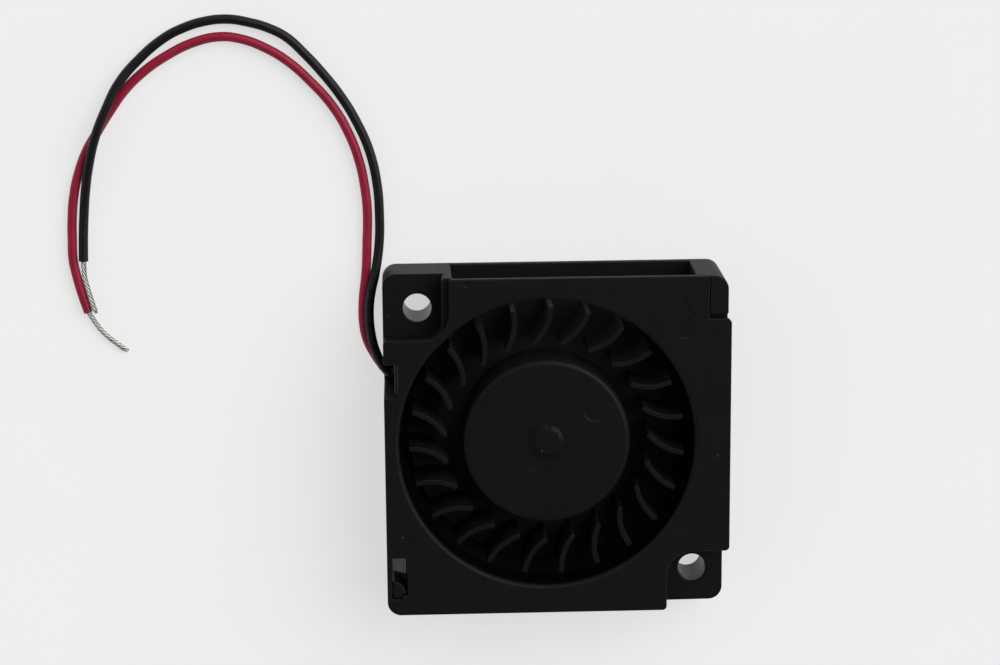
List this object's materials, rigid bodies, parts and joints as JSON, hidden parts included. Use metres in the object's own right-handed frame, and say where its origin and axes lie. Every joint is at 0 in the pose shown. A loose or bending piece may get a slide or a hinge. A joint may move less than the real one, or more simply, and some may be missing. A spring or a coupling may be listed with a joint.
{
  "type": "radial fan",
  "caption": "Small square radial blower: clip-fit cover with round inlet, curved-blade impeller on a sleeve-bearing motor, side air outlet, mounting ears and bare-ended lead wires.",
  "frame": {"origin": "centre of the square body on its back mounting face", "axes": "+Z along the rotor axis, out of the air inlet; +Y out of the air outlet; +X to the right when looking into the inlet with the outlet up"},
  "size_m": [0.0764, 0.0694, 0.01],
  "materials": {
    "black_housing": "fine satin moulding, black",
    "black_cover": "fine satin moulding, black",
    "black_impeller": "satin moulding, black",
    "bronze": "oil-filled sintered bronze",
    "pale_plastic": "natural plastic",
    "insulator_plastic": "natural plastic",
    "lamination_steel": "stacked sheet edges",
    "copper_winding": "enamelled wire",
    "board_laminate": "green solder mask",
    "chip_package": "moulded package",
    "chip_ceramic": "ceramic chip",
    "tinned_metal": "tinned copper",
    "red_insulation": "satin wire insulation, crimson",
    "black_insulation": "satin wire insulation, black",
    "yoke_steel": "plated steel",
    "ferrite": "plastic-bonded ferrite",
    "shaft_steel": "ground steel",
    "washer_plastic": "plastic washer"
  },
  "bodies": {
    "housing": {"base_housing": "black_housing", "front_cover": "black_cover", "sleeve_bearing": "bronze", "thrust_pad": "pale_plastic", "lower_insulator": "insulator_plastic", "stator_core": "lamination_steel", "upper_insulator": "insulator_plastic", "coil_1": "copper_winding", "coil_2": "copper_winding", "coil_3": "copper_winding", "coil_4": "copper_winding", "circuit_board": "board_laminate", "motor_driver": "chip_package", "chip_components": "chip_ceramic", "terminal_pins": "tinned_metal", "solder_joints": "tinned_metal", "red_lead_tail": "red_insulation", "black_lead_tail": "black_insulation", "red_lead": "red_insulation", "black_lead": "black_insulation", "red_strands": "tinned_metal", "black_strands": "tinned_metal"},
    "rotor": {"impeller": "black_impeller", "rotor_yoke": "yoke_steel", "ring_magnet": "ferrite", "shaft": "shaft_steel", "retaining_ring": "pale_plastic", "oil_washer": "washer_plastic"}
  },
  "joints": [
    {"name": "rotor_spin", "type": "hinge", "parent": "housing", "child": "rotor", "pos_m": [-0.00125, 0.00045, 0], "axis": [0, 0, 1], "continuous": true}
  ]
}
